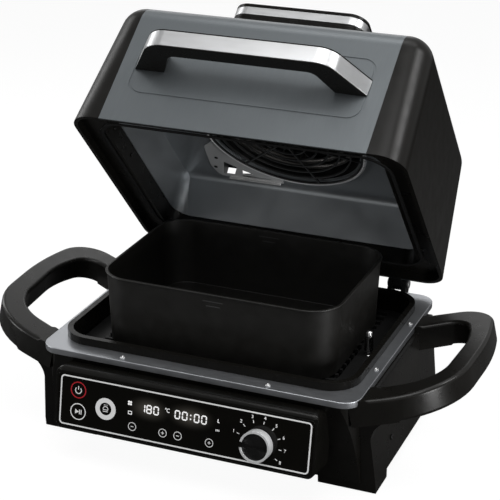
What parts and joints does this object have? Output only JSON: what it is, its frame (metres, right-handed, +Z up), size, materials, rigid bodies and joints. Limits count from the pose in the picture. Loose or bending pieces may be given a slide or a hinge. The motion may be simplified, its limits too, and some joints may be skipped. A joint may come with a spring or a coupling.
{
  "type": "electric grill smoker",
  "caption": "Countertop electric grill smoker with a hinged hood, lift-out cooking pot, ribbed grill plate, fan and heater in the hood, touch panel with a dial, and side handles.",
  "frame": {"origin": "middle of the whole object's box, at the height of the table that the feet stand on, with the hood standing open", "axes": "+X to the right of someone at the control panel, +Y away from them, +Z up"},
  "size_m": [0.6188, 0.4842, 0.4934],
  "materials": {
    "black_plastic": "satin black moulding",
    "gloss_black": "smooth black",
    "panel_glass": "black printed glass",
    "black_enamel": "black non-stick coating",
    "grey_cover": "dark grey satin paint",
    "satin_steel": "satin",
    "bright_ring": "bright",
    "screw_steel": "plain",
    "dark_steel": "dark",
    "cast_plate": "coated black",
    "element_tube": "dull, heat-stained",
    "fan_alloy": "plain",
    "board_green": "circuit board",
    "pad_rubber": "matte"
  },
  "bodies": {
    "base": {"base_housing": "black_plastic", "base_plate": "black_plastic", "rim_plate": "satin_steel", "rim_screws": "screw_steel", "inner_well": "black_enamel", "grill_plate": "cast_plate", "plate_posts": "dark_steel", "lower_heating_element": "element_tube", "element_rests": "dark_steel", "temperature_probe": "screw_steel", "left_cheek_handle": "black_plastic", "right_cheek_handle": "black_plastic", "cheek_screws": "dark_steel", "foot_pads": "pad_rubber", "panel_housing": "gloss_black", "panel_glass": "panel_glass", "control_board": "board_green", "display_module": "gloss_black", "encoder": "screw_steel", "power_inlet": "black_plastic", "hinge_brackets": "dark_steel", "hinge_pins": "screw_steel"},
    "dial": {"knob_ring": "satin_steel", "knob_cap": "gloss_black"},
    "pot": {"cooking_pot": "black_enamel"},
    "hood": {"lid_cover": "grey_cover", "lid_left_shell": "black_plastic", "lid_right_shell": "black_plastic", "lid_frame": "black_plastic", "lid_frame_screws": "screw_steel", "lid_seal": "pad_rubber", "lid_liner": "satin_steel", "lid_hinge_arms": "dark_steel", "fan_guard_ring": "bright_ring", "fan_guard_grille": "black_enamel", "fan_can": "satin_steel", "upper_heating_element": "element_tube", "fan_motor": "dark_steel", "exhaust_duct": "satin_steel", "exhaust_bracket": "satin_steel", "bracket_screws": "dark_steel", "lid_handle_core": "black_plastic", "lid_handle_band": "satin_steel", "smoke_box": "black_plastic", "hatch_pins": "screw_steel"},
    "fan": {"fan_wheel": "fan_alloy", "fan_shaft": "screw_steel"},
    "hatch": {"smoke_hatch": "black_plastic", "hatch_band": "satin_steel"}
  },
  "joints": [
    {"name": "hood_hinge", "type": "hinge", "parent": "base", "child": "hood", "pos_m": [0, 0.14471, 0.1332], "axis": [-1, 0, 0], "range_deg": [-47.5, 22.5]},
    {"name": "dial_turn", "type": "hinge", "parent": "base", "child": "dial", "pos_m": [0.0955, -0.22584, 0.07432], "axis": [0, 0.9821, -0.1882], "range_deg": [0, 192.5]},
    {"name": "pot_lift", "type": "slide", "parent": "base", "child": "pot", "axis": [0, 0, 1], "range_m": [0, 0.009]},
    {"name": "fan_spin", "type": "hinge", "parent": "hood", "child": "fan", "pos_m": [0, 0.10931, 0.3388], "axis": [0, 0.7373, 0.6756], "continuous": true},
    {"name": "hatch_hinge", "type": "hinge", "parent": "hood", "child": "hatch", "pos_m": [0, 0.19556, 0.38596], "axis": [-1, 0, 0], "range_deg": [0, 80]}
  ]
}
